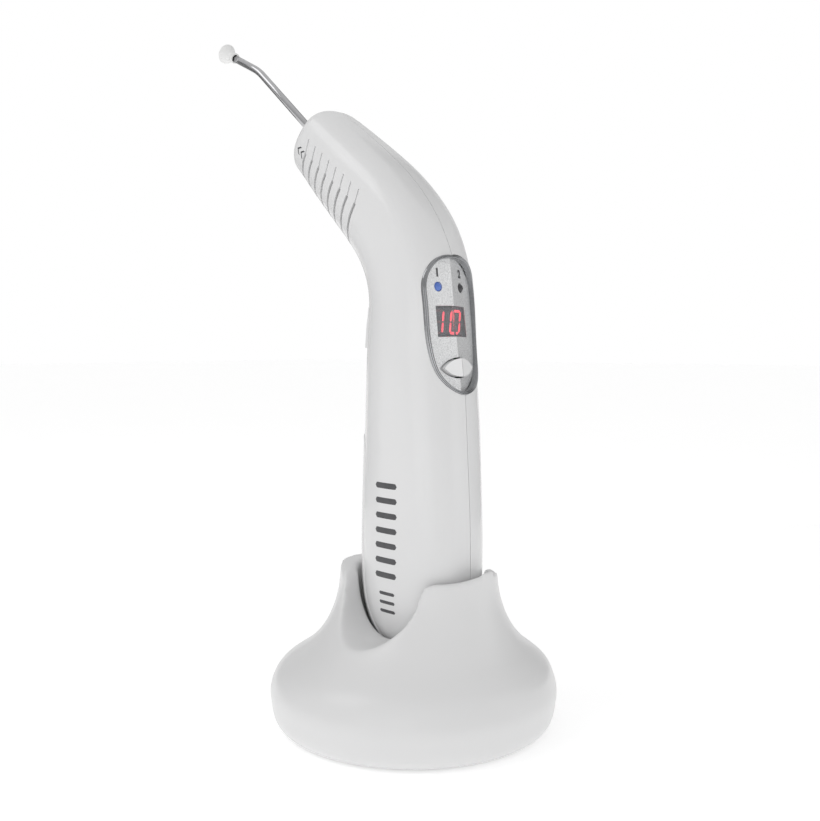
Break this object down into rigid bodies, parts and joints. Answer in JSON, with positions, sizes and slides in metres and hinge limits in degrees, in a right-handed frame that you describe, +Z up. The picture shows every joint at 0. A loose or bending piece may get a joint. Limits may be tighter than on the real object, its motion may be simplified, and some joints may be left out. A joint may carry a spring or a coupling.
{
  "type": "dental curing light",
  "caption": "Cordless dental light: bent pistol-shaped handpiece with display, rocker and finger trigger, slim bent light guide, standing in a bell-shaped charging stand.",
  "frame": {"origin": "centre of the stand's underside, on the surface it stands on", "axes": "+Z up, -X towards the light guide, +X towards the display panel, Y across"},
  "size_m": [0.1449, 0.097, 0.2426],
  "materials": {
    "white_plastic": "smooth satin-gloss",
    "stand_plastic": "smooth satin",
    "grey_rubber": "matt",
    "black_plastic": "matt",
    "grey_plastic": "matt",
    "dark_chrome": "smoked chrome",
    "silver_panel": "fine sparkle silver",
    "smoked_window": "smoked gloss",
    "display_red": "red segments",
    "blue_lens": "diffused blue",
    "dark_lens": "dark",
    "button_white": "gloss",
    "green_board": "solder mask",
    "steel": "polished",
    "bright_steel": "mirror polished",
    "gold_contact": "gold plated",
    "cell_wrap": "heat-shrink wrap",
    "black_anodised": "anodised",
    "lens_glass": "clear",
    "fibre_glass": "clear",
    "cap_plastic": "translucent white"
  },
  "bodies": {
    "stand": {"stand_shell": "stand_plastic", "foot_pad": "grey_rubber", "base_plate": "grey_plastic", "base_screws": "steel", "ballast_weight": "steel", "charge_board": "green_board", "board_standoffs": "black_plastic", "contact_block": "black_plastic", "charge_spring_front": "steel", "charge_spring_back": "steel", "power_socket": "black_plastic"},
    "charge_pin_front": {"charge_pin_front": "gold_contact"},
    "charge_pin_back": {"charge_pin_back": "gold_contact"},
    "handpiece": {"left_shell": "white_plastic", "right_shell": "white_plastic", "shell_screws": "steel", "battery_cover": "white_plastic", "panel_bezel": "dark_chrome", "panel_plate": "silver_panel", "display_window": "smoked_window", "display_module": "display_red", "indicator_left": "blue_lens", "indicator_right": "dark_lens", "rocker_pin": "steel", "rocker_switch_left": "black_plastic", "rocker_switch_right": "black_plastic", "control_board": "green_board", "buzzer": "black_plastic", "trigger_pin": "steel", "trigger_spring": "steel", "trigger_switch": "black_plastic", "battery_cell": "cell_wrap", "battery_cradle": "black_plastic", "battery_contact": "gold_contact", "battery_spring": "steel", "handle_contact_front": "gold_contact", "handle_contact_back": "gold_contact", "heat_sink": "black_anodised", "emitter_module": "gold_contact", "emitter_lens": "lens_glass", "guide_socket": "black_plastic", "socket_seal": "grey_rubber"},
    "rocker": {"rocker_button": "button_white"},
    "trigger": {"trigger": "white_plastic"},
    "guide_collar": {"guide_collar": "black_anodised"},
    "light_guide": {"guide_ferrule": "steel", "guide_tube": "bright_steel", "guide_core": "fibre_glass"},
    "tip_cap": {"tip_cap": "cap_plastic"}
  },
  "joints": [
    {"name": "charge_pin_front_travel", "type": "slide", "parent": "stand", "child": "charge_pin_front", "axis": [0, 0, 1], "range_m": [-0.0012, 0], "stiffness_N_per_m": 150, "springref_m": 0.0015, "deforming": ["charge_spring_front"]},
    {"name": "charge_pin_back_travel", "type": "slide", "parent": "stand", "child": "charge_pin_back", "axis": [0, 0, 1], "range_m": [-0.0012, 0], "stiffness_N_per_m": 150, "springref_m": 0.0015, "deforming": ["charge_spring_back"]},
    {"name": "handpiece_lift", "type": "slide", "parent": "stand", "child": "handpiece", "axis": [0, 0, 1], "range_m": [0, 0.065]},
    {"name": "rocker_tilt", "type": "hinge", "parent": "handpiece", "child": "rocker", "pos_m": [0.01613, 0, 0.11931], "axis": [-0.1115, 0, 0.9938], "range_deg": [-3, 3], "stiffness_Nm_per_rad": 0.05},
    {"name": "trigger_pull", "type": "hinge", "parent": "handpiece", "child": "trigger", "pos_m": [-0.011, 0, 0.137], "axis": [0, -1, 0], "range_deg": [0, 5], "stiffness_Nm_per_rad": 0.06, "springref_deg": -8.59},
    {"name": "guide_pull_out", "type": "slide", "parent": "handpiece", "child": "guide_collar", "axis": [-0.7337, 0, 0.6794], "range_m": [0, 0.018]},
    {"name": "guide_swivel", "type": "hinge", "parent": "guide_collar", "child": "light_guide", "pos_m": [-0.0437, 0, 0.1999], "axis": [-0.7337, 0, 0.6794], "continuous": true},
    {"name": "tip_cap_pull", "type": "slide", "parent": "light_guide", "child": "tip_cap", "axis": [-0.8846, 0, 0.4664], "range_m": [0, 0.008]}
  ]
}
